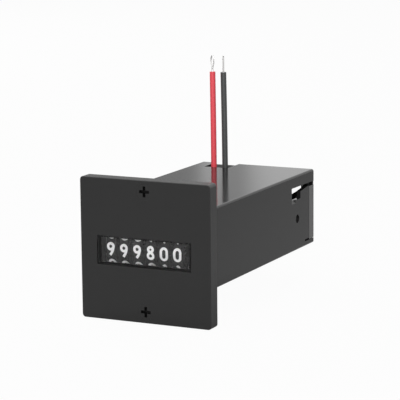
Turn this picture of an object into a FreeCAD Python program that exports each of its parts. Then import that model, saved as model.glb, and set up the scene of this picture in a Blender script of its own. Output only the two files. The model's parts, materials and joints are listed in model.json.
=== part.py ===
"""Electromechanical panel counter: a square front plate, a long housing and six number wheels.

The origin lies on the back face of the front plate, midway between its two screws. Seen from
the front, +X is to the right and +Z is up; +Y runs back into the panel. Sizes are in millimetres.
"""
import FreeCAD
import Part
import math
import os
import re
from FreeCAD import Placement, Rotation, Vector

DOC = FreeCAD.newDocument("PanelCounter")

# Driving sizes, each with its meaning
SIZES = [
    ("plate_side", 48.0, "side of the square front plate"),
    ("plate_thick", 4.8, "thickness of the front plate"),
    ("plate_corner", 1.2, "corner radius of the front plate"),
    ("plate_edge", 0.2, "bevel round the plate's front face"),
    ("window_wide", 34.8, "width of the window's seat"),
    ("window_high", 9.7, "height of the window's seat"),
    ("window_x", -0.5, "middle of the window from the plate's middle"),
    ("window_z", -0.45, "height of the window's middle and of the wheel shaft"),
    ("window_seat", 1.6, "depth of the window's seat"),
    ("ledge_thick", 0.6, "thickness of the ledge that the lens rests on"),
    ("ledge_side", 1.1, "ledge under the lens at its two ends"),
    ("ledge_high", 0.65, "ledge under the lens along its long edges"),
    ("lens_thick", 1.2, "thickness of the clear lens"),
    ("lens_gap", 0.08, "gap between the lens and its seat, all round"),
    ("lens_edge", 0.2, "bevel round the lens"),
    ("spigot_long", 5.0, "length of the collar behind the plate"),
    ("spigot_wall", 1.4, "wall of that collar"),
    ("spigot_gap", 0.1, "gap between the collar and the housing"),
    ("screw_margin", 3.8, "distance of a plate screw from the plate's upper or lower side"),
    ("screw_radius", 1.5, "radius of a plate screw's shank"),
    ("screw_long", 8.3, "length of a plate screw's shank behind the plate"),
    ("neck_radius", 1.2, "radius of a captive plate screw's neck inside the plate"),
    ("screw_gap", 0.1, "gap round a plate screw's shank"),
    ("head_radius", 2.8, "radius of a plate screw's head"),
    ("head_high", 2.3, "height of a plate screw's head"),
    ("head_sunk", 0.2, "depth of the screw head below the plate's face"),
    ("head_gap", 0.1, "gap round a plate screw's head"),
    ("cross_wide", 1.0, "width of a slot of the cross recess"),
    ("cross_long", 3.6, "length of a slot of the cross recess"),
    ("cross_deep", 1.4, "depth of the cross recess"),
    ("body_wide", 45.0, "width of the housing"),
    ("body_high", 27.2, "height of the housing"),
    ("body_z", 1.9, "height of the housing's middle"),
    ("body_long", 85.2, "length of the housing"),
    ("body_wall", 1.5, "wall of the housing"),
    ("body_edge", 0.8, "rounding along the housing's four long edges"),
    ("latch_rear", 20.0, "distance of the latch window's front end from the housing's rear end"),
    ("latch_long", 7.8, "length of the latch window"),
    ("latch_low", 6.8, "lower edge of the latch window"),
    ("latch_top", 11.4, "upper edge of the latch window"),
    ("slit_top", 11.2, "upper edge of the slit behind the latch window"),
    ("slit_start", 9.3, "lower edge of the slit where it leaves the latch window"),
    ("slit_low", 10.1, "lower edge of the slit further back"),
    ("slit_level", 6.0, "length of the level rear part of the slit's lower edge"),
    ("tongue_long", 4.4, "length of the rear cover's side tongue"),
    ("tongue_low", -9.8, "lower end of the cut-out for the side tongue"),
    ("relief_long", 3.6, "length of the relief at the foot of the side cut-out"),
    ("relief_high", 0.7, "height of that relief"),
    ("ramp_long", 3.8, "length of the ramp under the latch window"),
    ("ramp_high", 1.1, "height of that ramp"),
    ("ramp_deep", 0.9, "depth of that ramp"),
    ("peg_hole", 1.5, "radius of the peg hole in the housing's side"),
    ("peg_rear", 14.9, "distance of the peg from the housing's rear end"),
    ("peg_z", -0.25, "height of the peg"),
    ("peg_radius", 1.3, "radius of the rear cover's peg"),
    ("peg_sunk", 0.6, "depth of the peg's end below the housing's side"),
    ("cover_thick", 1.6, "thickness of the rear cover"),
    ("cover_gap", 0.2, "gap round the rear cover"),
    ("arm_wide", 8.0, "height of a spring arm of the rear cover"),
    ("arm_thick", 1.5, "thickness of a spring arm"),
    ("arm_past", 3.8, "length of a spring arm past its peg"),
    ("core_out_wide", 5.6, "width of the opening behind each latch window"),
    ("core_out_high", 4.8, "height of that opening"),
    ("core_out_side", 7.9, "distance of that opening's middle from the housing's side"),
    ("core_out_z", 8.0, "height of that opening's middle"),
    ("guide_side", 10.4, "distance of the lead guide's middle from the housing's left side"),
    ("guide_wide", 9.5, "width of the notch for the lead guide"),
    ("guide_long", 10.0, "length of the notch for the lead guide"),
    ("guide_high", 4.5, "height of the lead guide"),
    ("guide_sunk", 0.6, "depth of the lead guide below the housing's top"),
    ("guide_gap", 0.15, "gap round the lead guide"),
    ("lead_radius", 1.05, "radius of an insulated lead"),
    ("lead_gap", 0.05, "gap round a lead in its guide"),
    ("lead_rear", 6.7, "distance of both leads from the housing's rear end"),
    ("red_left", 2.3, "distance of the red lead to the left of the guide's middle"),
    ("black_right", 2.25, "distance of the black lead to the right of the guide's middle"),
    ("lead_bend", 25.0, "height above which a lead leans"),
    ("lead_top", 50.2, "height of the upper end of a lead's insulation"),
    ("red_lean", 0.27, "lean of the red lead's upper end to the left"),
    ("black_lean", 0.45, "lean of the black lead's upper end to the left"),
    ("strand_radius", 0.55, "radius of the bare end of a lead"),
    ("strand_long", 6.2, "length of the bare end of a lead"),
    ("wheel_radius", 9.4, "radius of a number wheel"),
    ("wheel_gap", 0.8, "gap between the ledge and the number wheels"),
    ("wheel_pitch", 4.95, "distance from one number wheel to the next"),
    ("rim_wide", 3.5, "width of a number wheel's rim"),
    ("bank_x", -1.72, "middle of the bank of six number wheels"),
    ("disc_wide", 0.6, "width of the gear ring and of the carry disc"),
    ("carry_radius", 6.3, "radius of the carry disc"),
    ("carry_tooth", 0.9, "height of the two teeth on the carry disc"),
    ("shaft_radius", 1.0, "radius of the wheel shaft"),
    ("bore_gap", 0.04, "running gap of wheels and pinions on their shafts"),
    ("fixed_gap", 0.02, "gap of a fixed shaft in its holes"),
    ("tooth_module", 0.8, "module of the carry gears"),
    ("wheel_teeth", 20, "teeth of a number wheel's gear ring"),
    ("pinion_teeth", 8, "teeth of a carry pinion"),
    ("tooth_top", 0.55, "height of a tooth above the pitch circle"),
    ("tooth_root", 0.8, "depth of a tooth below the pitch circle"),
    ("tooth_wide", 0.98, "thickness of a tooth at the pitch circle"),
    ("tooth_slant", 0.45, "narrowing of a tooth for each millimetre of its height"),
    ("pinion_angle", -25.0, "direction of the pinion shaft seen from the wheel shaft"),
    ("pinion_shaft_radius", 0.8, "radius of the pinion shaft"),
    ("pinion_side_gap", 0.1, "gap between a pinion and the rims beside it"),
    ("star_radius", 5.0, "radius over the drive star's teeth"),
    ("star_root", 3.4, "radius at the foot of the drive star's teeth"),
    ("star_teeth", 10, "teeth of the drive star"),
    ("star_wide", 1.4, "width of the drive star"),
    ("frame_thick", 1.0, "sheet thickness of the mechanism's frame"),
    ("frame_side_gap", 0.45, "gap between the first wheel and the frame"),
    ("star_hub_long", 1.7, "length of the drive star's hub"),
    ("star_hub_radius", 1.9, "radius of the drive star's hub"),
    ("frame_foot", 24.0, "front end of the frame's floor"),
    ("frame_cheek", 36.5, "rear end of the frame's cheeks"),
    ("floor_gap", 0.2, "gap between the frame and the housing's floor"),
    ("pivot_y", 33.1, "armature pivot along the housing"),
    ("pivot_z", -6.6, "height of the armature pivot"),
    ("pivot_radius", 0.8, "radius of the armature pin"),
    ("eye_radius", 1.8, "radius over the armature's rolled eye"),
    ("armature_thick", 1.6, "thickness of the armature"),
    ("armature_wide", 18.0, "width of the armature before the core"),
    ("armature_top", 10.6, "upper end of the armature"),
    ("wing_low", 3.6, "lower edge of the armature's two wings"),
    ("wing_top", 8.0, "upper edge of the armature's two wings"),
    ("fork_gap", 0.2, "gap between the fork and the last number wheel"),
    ("fork_thick", 1.0, "thickness of the fork"),
    ("fork_clear", 0.2, "gap between a pallet and the drive star"),
    ("fork_lift", 1.9, "rise of the fork when the armature pulls in"),
    ("fork_beam", 1.9, "height of the fork's long beam"),
    ("fork_arm", 1.2, "width of the fork's cross arm and lower arm"),
    ("fork_back", 7.0, "distance of the cross arm behind the wheel shaft"),
    ("pallet_wide", 1.2, "width of a pallet"),
    ("pallet_high", 0.8, "height of a pallet"),
    ("rivet_radius", 0.5, "radius of the fork's rivet"),
    ("stop_z", 9.4, "height of the tab that stops the armature"),
    ("stop_high", 1.6, "height of that tab's own face"),
    ("stop_reach", 2.4, "overlap of that tab with the armature"),
    ("core_radius", 3.5, "radius of the iron core"),
    ("core_z", 3.0, "height of the coil's axis"),
    ("air_gap", 1.1, "gap between the armature and the core's pole"),
    ("bobbin_front", 38.0, "front face of the coil's bobbin"),
    ("rear_room", 10.2, "room between the bobbin and the housing's rear end"),
    ("flange_thick", 1.4, "thickness of a bobbin flange"),
    ("flange_wide", 21.0, "width of a bobbin flange"),
    ("flange_high", 19.6, "height of a bobbin flange"),
    ("flange_corner", 2.0, "cut corner of a bobbin flange"),
    ("tube_wall", 1.0, "wall of the bobbin's tube"),
    ("core_gap", 0.05, "gap between the core and the bobbin"),
    ("winding_radius", 9.0, "radius over the winding"),
    ("winding_gap", 0.05, "gap between the winding and the bobbin's tube"),
    ("yoke_wide", 15.0, "width of the yoke"),
    ("yoke_thick", 1.8, "thickness of the yoke"),
    ("yoke_behind", 1.0, "gap between the bobbin and the yoke's upright"),
    ("yoke_top", 12.0, "upper end of the yoke's upright"),
    ("yoke_start", 2.3, "distance of the yoke's front end behind the pivot"),
    ("core_screw_radius", 2.0, "radius of the core screw's shank"),
    ("core_screw_long", 8.0, "length of the core screw's shank in the core"),
    ("core_head_radius", 3.5, "radius of the core screw's head"),
    ("core_head_high", 2.2, "height of the core screw's head"),
    ("core_slot_wide", 0.9, "width of the core screw's slot"),
    ("core_slot_deep", 1.1, "depth of the core screw's slot"),
    ("block_side", 2.025, "distance from the red lead to the terminal block's left side"),
    ("block_gap", 0.325, "gap between the terminal block and the yoke"),
    ("block_long", 5.2, "length of the terminal block"),
    ("block_low", 3.0, "lower face of the terminal block"),
    ("block_top", 7.0, "upper face of the terminal block"),
    ("tag_wide", 1.4, "width of a terminal tag"),
    ("tag_thick", 0.6, "thickness of a terminal tag"),
    ("tag_high", 2.0, "height of a terminal tag above its block"),
    ("spring_radius", 1.5, "mean radius of the return spring"),
    ("spring_wire", 0.25, "radius of the return spring's wire"),
    ("spring_pitch", 1.9, "pitch of the return spring"),
    ("spring_x", -12.6, "place of the return spring across the frame"),
    ("spring_z", 6.0, "height of the return spring"),
    ("lug_y", 21.0, "rear face of the lug that holds the return spring"),
    ("lug_high", 4.4, "height of that lug"),
]

# Places that follow from the driving sizes
PLACES = {
    "plate_front": "-plate_thick",
    "ledge_front": "plate_front + window_seat",
    "ledge_back": "ledge_front + ledge_thick",
    "shaft_y": "ledge_back + wheel_gap + wheel_radius",
    "body_top": "body_z + body_high / 2",
    "body_bottom": "body_z - body_high / 2",
    "screw_spacing": "plate_side - 2 * screw_margin",
    "body_side": "body_wide / 2",
    "inner_side": "body_side - body_wall",
    "inner_top": "body_top - body_wall",
    "inner_bottom": "body_bottom + body_wall",
    "latch_front": "body_long - latch_rear",
    "latch_back": "latch_front + latch_long",
    "slit_bend": "body_long - slit_level",
    "peg_y": "body_long - peg_rear",
    "core_out_x": "body_side - core_out_side",
    "guide_x": "guide_side - body_side",
    "guide_front": "body_long - guide_long",
    "lead_y": "body_long - lead_rear",
    "red_x": "guide_x - red_left",
    "black_x": "guide_x + black_right",
    "tongue_front": "body_long - tongue_long",
    "cover_front": "body_long - cover_thick",
    "guide_top": "body_top - guide_sunk",
    "guide_bottom": "guide_top - guide_high",
    "tag_top": "block_top + tag_high",
    "pitch_wheel": "tooth_module * wheel_teeth / 2",
    "pitch_pinion": "tooth_module * pinion_teeth / 2",
    "mesh_distance": "pitch_wheel + pitch_pinion",
    "pinion_y": "shaft_y + mesh_distance * cos(pinion_angle)",
    "pinion_z": "window_z + mesh_distance * sin(pinion_angle)",
    "rim_half": "rim_wide / 2",
    "hub_half": "rim_half + disc_wide",
    "first_x": "bank_x - wheel_pitch * 5 / 2",
    "last_x": "bank_x + wheel_pitch * 5 / 2",
    "cheek_left": "first_x - hub_half - frame_side_gap",
    "star_left": "last_x + hub_half",
    "star_right": "star_left + star_wide",
    "cheek_right": "star_right + star_hub_long + bore_gap",
    "floor_low": "inner_bottom + floor_gap",
    "floor_top": "floor_low + frame_thick",
    "armature_back": "pivot_y + armature_thick / 2",
    "armature_front": "pivot_y - armature_thick / 2",
    "pole_y": "armature_back + air_gap",
    "bobbin_long": "body_long - rear_room - bobbin_front",
    "bobbin_back": "bobbin_front + bobbin_long",
    "upright_front": "bobbin_back + yoke_behind",
    "upright_back": "upright_front + yoke_thick",
    "fork_left": "star_left + fork_gap",
    "pallet_top_tip": "window_z + star_radius + fork_clear",
    "pallet_low_tip": "window_z - star_radius - fork_clear - fork_lift",
    "beam_low": "pallet_top_tip + pallet_high",
    "lug_back": "lug_y",
}

SHEET = DOC.addObject("Spreadsheet::Sheet", "Sizes")
for row, (alias, number, meaning) in enumerate(SIZES, start=1):
    SHEET.set(f"A{row}", alias)
    SHEET.set(f"B{row}", str(number))
    SHEET.set(f"C{row}", meaning)
    SHEET.setAlias(f"B{row}", alias)
DOC.recompute()

NAMES = {alias for alias, number, meaning in SIZES}
WORD = re.compile(r"[A-Za-z_][A-Za-z_0-9]*")
PIECES = []


def bound(text):
    """The text of a size with each name replaced by the cell or the places that it stands for."""
    def swap(match):
        word = match.group()
        if word in PLACES:
            return "(" + bound(PLACES[word]) + ")"
        return "Sizes." + word if word in NAMES else word
    return WORD.sub(swap, str(text))


def value(text):
    """The present value of a size."""
    return float(SHEET.evalExpression(bound(text)))


def tie(item, rules):
    """Binds properties of an object to the sheet."""
    for name, text in rules.items():
        item.setExpression(name, bound(text))


def move(item, x=0, y=0, z=0):
    """Binds where an object's own origin lies."""
    tie(item, {"Placement.Base.x": x, "Placement.Base.y": y, "Placement.Base.z": z})


def piece(item, label):
    """Names a finished sub-part."""
    item.Label = label
    PIECES.append(item)
    return item


# Primitives and booleans

def box(name, x, y, z):
    """A block between two places along each axis."""
    item = DOC.addObject("Part::Box", name)
    tie(item, {
        "Length": f"({x[1]}) - ({x[0]})",
        "Width": f"({y[1]}) - ({y[0]})",
        "Height": f"({z[1]}) - ({z[0]})",
    })
    move(item, x[0], y[0], z[0])
    return item


def rod(name, axis, start, end, radius, x=0, y=0, z=0):
    """A round bar along one axis, from start to end, through the other two places."""
    item = DOC.addObject("Part::Cylinder", name)
    turn = {
        "X": Rotation(Vector(0, 1, 0), 90),
        "Y": Rotation(Vector(1, 0, 0), -90),
        "Z": Rotation(),
    }
    item.Placement = Placement(Vector(), turn[axis])
    tie(item, {"Radius": radius, "Height": f"({end}) - ({start})"})
    base = {"X": (start, y, z), "Y": (x, start, z), "Z": (x, y, start)}[axis]
    move(item, *base)
    return item


def join(name, *items):
    """Several solids as one."""
    item = DOC.addObject("Part::MultiFuse", name)
    item.Shapes = list(items)
    item.Refine = True
    return item


def cut(name, base, *tools):
    """A solid less one or more others."""
    item = DOC.addObject("Part::Cut", name)
    item.Base = base
    item.Tool = tools[0] if len(tools) == 1 else join(name + "_tools", *tools)
    return item


# Sketches and PartDesign features

def new_body(name):
    return DOC.addObject("PartDesign::Body", name)


def origin_of(body, role):
    """A plane or axis of a body's own origin."""
    return next(f for f in body.Origin.OriginFeatures if f.Role == role)


def sketch_on(body, name, role, offset="0"):
    """A sketch on one of the body's origin planes, moved along the plane's normal."""
    sketch = body.newObject("Sketcher::SketchObject", name)
    sketch.AttachmentSupport = [(origin_of(body, role), "")]
    sketch.MapMode = "FlatFace"
    tie(sketch, {"AttachmentOffset.Base.z": offset})
    return sketch


def pin_point(sketch, geometry, end, across, up):
    """Fixes one end of a sketch's line, or a circle's centre, at two distances from the origin."""
    import Sketcher
    for kind, text in (("DistanceX", across), ("DistanceY", up)):
        index = sketch.addConstraint(
            Sketcher.Constraint(kind, -1, 1, geometry, end, value(text)))
        name = f"{kind}_{geometry}_{end}"
        sketch.renameConstraint(index, name)
        tie(sketch, {"Constraints." + name: text})


def outline(sketch, points):
    """A closed outline through points given as pairs of sizes."""
    import Sketcher
    first = sketch.GeometryCount
    places = [Vector(value(across), value(up), 0) for across, up in points]
    count = len(places)
    for k in range(count):
        sketch.addGeometry(Part.LineSegment(places[k], places[(k + 1) % count]), False)
    for k in range(count):
        sketch.addConstraint(
            Sketcher.Constraint("Coincident", first + k, 2, first + (k + 1) % count, 1))
    for k, (across, up) in enumerate(points):
        pin_point(sketch, first + k, 1, across, up)


def rectangle(sketch, low, high, bottom, top):
    outline(sketch, [(low, bottom), (high, bottom), (high, top), (low, top)])


def circle(sketch, across, up, radius):
    import Sketcher
    centre = Vector(value(across), value(up), 0)
    index = sketch.addGeometry(Part.Circle(centre, Vector(0, 0, 1), value(radius)), False)
    pin_point(sketch, index, 3, across, up)
    place = sketch.addConstraint(Sketcher.Constraint("Radius", index, value(radius)))
    sketch.renameConstraint(place, f"Radius_{index}")
    tie(sketch, {f"Constraints.Radius_{index}": radius})


def pad(body, sketch, length, reverse=False):
    feature = body.newObject("PartDesign::Pad", sketch.Name + "_pad")
    feature.Profile = sketch
    feature.Reversed = reverse
    tie(feature, {"Length": length})
    return feature


def pocket(body, sketch, length, reverse=False, both=False):
    feature = body.newObject("PartDesign::Pocket", sketch.Name + "_pocket")
    feature.Profile = sketch
    feature.Reversed = reverse
    if both:
        feature.SideType = "Symmetric"
    tie(feature, {"Length": length})
    return feature


def revolve(body, sketch):
    feature = body.newObject("PartDesign::Revolution", sketch.Name + "_turned")
    feature.Profile = sketch
    feature.ReferenceAxis = (sketch, ["H_Axis"])
    feature.Angle = 360
    return feature


def ring_of(body, feature, count):
    """Copies of a feature, evenly round the body's X axis."""
    pattern = body.newObject("PartDesign::PolarPattern", feature.Name + "_ring")
    pattern.Originals = [feature]
    pattern.Axis = (origin_of(body, "X_Axis"), [""])
    pattern.Angle = 360
    tie(pattern, {"Occurrences": count})
    body.Tip = pattern
    return pattern


def round_edges(body, feature, radius, chosen):
    """A fillet on the edges of a feature that a test picks."""
    DOC.recompute()
    names = [f"Edge{k}" for k, e in enumerate(feature.Shape.Edges, start=1) if chosen(e)]
    fillet = body.newObject("PartDesign::Fillet", feature.Name + "_round")
    fillet.Base = (feature, names)
    tie(fillet, {"Radius": radius})
    return fillet


def bevel_face(body, feature, size, place):
    """A bevel round the flat face that lies at one place along the Y axis."""
    DOC.recompute()
    level = value(place)
    names = [f"Edge{k}" for k, e in enumerate(feature.Shape.Edges, start=1)
             if all(abs(v.Y - level) < 1e-6 for v in e.Vertexes)]
    bevel = body.newObject("PartDesign::Chamfer", feature.Name + "_bevel")
    bevel.Base = (feature, names)
    tie(bevel, {"Size": size})
    return bevel


def along(direction):
    """A test for straight edges that run in a direction."""
    def test(edge):
        if edge.Curve.TypeId != "Part::GeomLine":
            return False
        return abs(edge.Curve.Direction.dot(direction)) > 0.999
    return test


# Front plate, lens and plate screws

def front_plate():
    body = new_body("front_plate")
    square = sketch_on(body, "plate_outline", "XZ_Plane")
    rectangle(square, "-plate_side / 2", "plate_side / 2", "-plate_side / 2", "plate_side / 2")
    slab = pad(body, square, "plate_thick")
    rounded = round_edges(body, slab, "plate_corner", along(Vector(0, 1, 0)))
    bevel_face(body, rounded, "plate_edge", "plate_front")

    seat = sketch_on(body, "lens_seat", "XZ_Plane", "plate_thick")
    rectangle(seat, "window_x - window_wide / 2", "window_x + window_wide / 2",
              "window_z - window_high / 2", "window_z + window_high / 2")
    pocket(body, seat, "window_seat")
    opening = sketch_on(body, "ledge_opening", "XZ_Plane", "plate_thick")
    rectangle(opening, "window_x - window_wide / 2 + ledge_side",
              "window_x + window_wide / 2 - ledge_side",
              "window_z - window_high / 2 + ledge_high",
              "window_z + window_high / 2 - ledge_high")
    pocket(body, opening, "plate_thick")
    room = sketch_on(body, "wheel_room", "XZ_Plane")
    half = "sqrt(wheel_radius ^ 2 - shaft_y ^ 2) + wheel_gap"
    rectangle(room, "window_x - window_wide / 2 + ledge_side",
              "window_x + window_wide / 2 - ledge_side",
              f"window_z - ({half})", f"window_z + ({half})")
    pocket(body, room, "-ledge_back", reverse=True)

    heads = sketch_on(body, "head_recesses", "XZ_Plane", "plate_thick")
    holes = sketch_on(body, "screw_holes", "XZ_Plane", "plate_thick")
    for side in ("-", ""):
        circle(heads, "0", side + "screw_spacing / 2", "head_radius + head_gap")
        circle(holes, "0", side + "screw_spacing / 2", "screw_radius + screw_gap")
    pocket(body, heads, "head_sunk + head_high")
    pocket(body, holes, "plate_thick")

    collar = sketch_on(body, "collar", "XZ_Plane")
    outer, inner = "inner_side - spigot_gap", "inner_side - spigot_gap - spigot_wall"
    top, under = "inner_top - spigot_gap", "inner_top - spigot_gap - spigot_wall"
    foot = "inner_bottom + spigot_gap"
    outline(collar, [
        (f"-({outer})", foot), (f"-({inner})", foot), (f"-({inner})", under),
        (inner, under), (inner, foot), (outer, foot), (outer, top), (f"-({outer})", top),
    ])
    pad(body, collar, "spigot_long", reverse=True)
    return piece(body, "front_plate")


def window_lens():
    body = new_body("window_lens")
    sheet = sketch_on(body, "lens_outline", "XZ_Plane", "-(ledge_front)")
    rectangle(sheet, "window_x - window_wide / 2 + lens_gap",
              "window_x + window_wide / 2 - lens_gap",
              "window_z - window_high / 2 + lens_gap",
              "window_z + window_high / 2 - lens_gap")
    slab = pad(body, sheet, "lens_thick")
    bevel_face(body, slab, "lens_edge", "ledge_front - lens_thick")
    return piece(body, "window_lens")


def plate_screw(label, side):
    """A pan head screw with a cross recess, its head sunk below the plate's face."""
    height = side + "screw_spacing / 2"
    top = "(plate_front + head_sunk)"
    blank = new_body(label + "_blank")
    section = sketch_on(blank, label + "_section", "XY_Plane")
    neck, end = "plate_thick - head_sunk", "plate_thick - head_sunk + screw_long"
    outline(section, [
        ("0", "0"), ("0", "head_radius"), ("head_high", "head_radius"),
        ("head_high", "neck_radius"), (neck, "neck_radius"),
        (neck, "screw_radius"), (end, "screw_radius"), (end, "0"),
    ])
    revolve(blank, section)
    blank.Placement = Placement(Vector(), Rotation(Vector(0, 0, 1), 90))
    move(blank, "0", top, height)
    level = (f"{top} - cross_deep", f"{top} + cross_deep")
    half_long, half_wide = "cross_long / 2", "cross_wide / 2"
    tall = box(label + "_slot_a", (f"-{half_wide}", half_wide), level,
               (f"{height} - {half_long}", f"{height} + {half_long}"))
    flat = box(label + "_slot_b", (f"-{half_long}", half_long), level,
               (f"{height} - {half_wide}", f"{height} + {half_wide}"))
    return piece(cut(label, blank, tall, flat), label)


# Housing, rear cover and lead guide

def housing():
    body = new_body("housing")
    outer = sketch_on(body, "housing_outline", "XZ_Plane")
    rectangle(outer, "-body_side", "body_side", "body_bottom", "body_top")
    block = pad(body, outer, "body_long", reverse=True)
    round_edges(body, block, "body_edge", along(Vector(0, 1, 0)))
    inner = sketch_on(body, "housing_inside", "XZ_Plane")
    rectangle(inner, "-inner_side", "inner_side", "inner_bottom", "inner_top")
    pocket(body, inner, "body_long")

    sides = sketch_on(body, "side_cuts", "YZ_Plane")
    past = "body_long + body_wall"
    outline(sides, [
        (past, "slit_top"), ("latch_front", "latch_top"), ("latch_front", "latch_low"),
        ("latch_back", "latch_low"), ("latch_back", "slit_start"), ("slit_bend", "slit_low"),
        ("tongue_front", "slit_low"), ("tongue_front", "tongue_low + relief_high"),
        ("tongue_front - relief_long", "tongue_low + relief_high"),
        ("tongue_front - relief_long", "tongue_low"), (past, "tongue_low"),
    ])
    circle(sides, "peg_y", "peg_z", "peg_hole")
    pocket(body, sides, "body_wide + 2 * body_wall", both=True)

    ramps = sketch_on(body, "latch_ramps", "XZ_Plane", "-latch_front")
    for sign in ("", "-"):
        outline(ramps, [
            (f"{sign}(body_side + ramp_deep)", "latch_low - ramp_high"),
            (f"{sign}(body_side)", "latch_low - ramp_high"),
            (f"{sign}(body_side - ramp_deep)", "latch_low"),
            (f"{sign}(body_side - ramp_deep)", "latch_low + ramp_high"),
            (f"{sign}(body_side + ramp_deep)", "latch_low + ramp_high"),
        ])
    pocket(body, ramps, "ramp_long")

    notch = sketch_on(body, "lead_notch", "XY_Plane", "body_top")
    rectangle(notch, "guide_x - guide_wide / 2", "guide_x + guide_wide / 2",
              "guide_front", past)
    pocket(body, notch, "body_wall + guide_gap")
    return piece(body, "housing")


def rear_cover():
    inside = "(inner_side - cover_gap)"
    wall = box("cover_wall", (f"-{inside}", inside), ("cover_front", "body_long"),
               ("inner_bottom + cover_gap", "inner_top - cover_gap"))
    parts, holes = [wall], []
    for name, sign in (("right", ""), ("left", "-")):
        def span(low, high):
            return (low, high) if sign == "" else (f"-({high})", f"-({low})")
        parts.append(box(f"tongue_{name}", span(inside, "body_side"),
                         ("tongue_front + cover_gap", "body_long"),
                         ("tongue_low + cover_gap", "slit_low - cover_gap")))
        parts.append(box(f"tongue_root_{name}", span(f"{inside} - arm_thick", inside),
                         ("tongue_front + cover_gap", "cover_front"),
                         ("tongue_low + cover_gap", "slit_low - cover_gap")))
        parts.append(box(f"arm_{name}", span(f"{inside} - arm_thick", inside),
                         ("peg_y - arm_past", "cover_front"),
                         ("peg_z - arm_wide / 2", "peg_z + arm_wide / 2")))
        start, end = span(f"{inside} - arm_thick / 2", "body_side - peg_sunk")
        parts.append(rod(f"peg_{name}", "X", start, end, "peg_radius", y="peg_y", z="peg_z"))
        centre = f"{sign}core_out_x"
        holes.append(box(f"core_out_{name}",
                         (f"{centre} - core_out_wide / 2", f"{centre} + core_out_wide / 2"),
                         ("cover_front - arm_thick", "body_long + cover_thick"),
                         ("core_out_z - core_out_high / 2", "core_out_z + core_out_high / 2")))
    holes.append(box("guide_room",
                     ("guide_x - guide_wide / 2", "guide_x + guide_wide / 2"),
                     ("cover_front - cover_thick", "body_long + cover_thick"),
                     ("guide_bottom - guide_gap", "body_top")))
    return piece(cut("rear_cover", join("cover_blank", *parts), *holes), "rear_cover")


def lead_guide():
    """The black rubber block in the housing's notch, with a hole for each lead."""
    body = new_body("lead_guide")
    block = sketch_on(body, "guide_outline", "XY_Plane", "guide_bottom")
    rectangle(block, "guide_x - guide_wide / 2 + guide_gap", "guide_x + guide_wide / 2 - guide_gap",
              "guide_front + guide_gap", "body_long - guide_gap")
    pad(body, block, "guide_high")
    holes = sketch_on(body, "lead_holes", "XY_Plane", "guide_top")
    circle(holes, "red_x", "lead_y", "lead_radius + lead_gap")
    circle(holes, "black_x", "lead_y", "lead_radius + lead_gap")
    pocket(body, holes, "guide_high")
    return piece(body, "lead_guide")


# Number wheels and carry pinions

def toothed(body, name, offset, length, root, pitch, tip, count):
    """A gear about the body's X axis: one tooth with its share of the root, and its copies."""
    sketch = sketch_on(body, name, "YZ_Plane", offset)
    half = f"(tooth_wide / 2 + tooth_slant / 2 * (({pitch}) - ({{r}})))"
    low, high = half.format(r=root), half.format(r=tip)
    side, inside = f"180 / ({count})", f"(({root}) - disc_wide)"
    outline(sketch, [
        (f"{inside} * cos({side})", f"-{inside} * sin({side})"),
        (f"({root}) * cos({side})", f"-({root}) * sin({side})"),
        (root, f"-{low}"), (tip, f"-{high}"), (tip, high), (root, low),
        (f"({root}) * cos({side})", f"({root}) * sin({side})"),
        (f"{inside} * cos({side})", f"{inside} * sin({side})"),
    ])
    return ring_of(body, pad(body, sketch, length), count)


def number_wheel(place):
    """A number wheel: rim, gear ring on its right side and two carry teeth on its left side."""
    label = f"number_wheel_{place}"
    body = new_body(label)
    bore = "shaft_radius + bore_gap"
    ring_root = "pitch_wheel - tooth_root"
    ring_disc = "pitch_wheel - tooth_root - disc_wide / 2"
    section = sketch_on(body, label + "_section", "XY_Plane")
    outline(section, [
        ("-hub_half", bore), ("-hub_half", "carry_radius"), ("-rim_half", "carry_radius"),
        ("-rim_half", "wheel_radius"), ("rim_half", "wheel_radius"),
        ("rim_half", ring_disc), ("hub_half", ring_disc), ("hub_half", bore),
    ])
    revolve(body, section)
    for k, turn in enumerate((-9, 9)):
        sketch = sketch_on(body, f"{label}_carry_{k}", "YZ_Plane", "-hub_half")
        sketch.AttachmentOffset = Placement(Vector(), Rotation(Vector(0, 0, 1), 180 + turn))
        tie(sketch, {"AttachmentOffset.Base.z": "-hub_half"})
        rectangle(sketch, "carry_radius - carry_tooth", "carry_radius + carry_tooth",
                  "-tooth_wide / 2", "tooth_wide / 2")
        pad(body, sketch, "disc_wide")
    toothed(body, label + "_tooth", "rim_half", "disc_wide", ring_root,
            "pitch_wheel", "pitch_wheel + tooth_top", "wheel_teeth")
    half_step = value("180 / wheel_teeth")
    body.Placement = Placement(
        Vector(), Rotation(Vector(1, 0, 0), value("pinion_angle") + half_step))
    move(body, f"first_x + wheel_pitch * {place - 1}", "shaft_y", "window_z")
    return piece(body, label)


def carry_pinion(place):
    """A pinion with eight teeth over the gear ring and four over the carry disc."""
    label = f"carry_pinion_{place}"
    body = new_body(label)
    root = "pitch_pinion - tooth_root"
    left = "rim_half + pinion_side_gap"
    middle = "rim_half + disc_wide"
    right = "wheel_pitch - rim_half - pinion_side_gap"
    hub = sketch_on(body, label + "_hub", "XY_Plane")
    rectangle(hub, left, right, "pinion_shaft_radius + bore_gap", f"({root}) - disc_wide / 2")
    revolve(body, hub)
    tip = "pitch_pinion + tooth_top"
    toothed(body, label + "_tooth", left, f"{middle} - ({left})", root,
            "pitch_pinion", tip, "pinion_teeth")
    toothed(body, label + "_long_tooth", middle, f"{right} - ({middle})", root,
            "pitch_pinion", tip, "pinion_teeth / 2")
    body.Placement = Placement(
        Vector(), Rotation(Vector(1, 0, 0), value("pinion_angle") + 180))
    move(body, f"first_x + wheel_pitch * {place - 1}", "pinion_y", "pinion_z")
    return piece(body, label)


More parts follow.
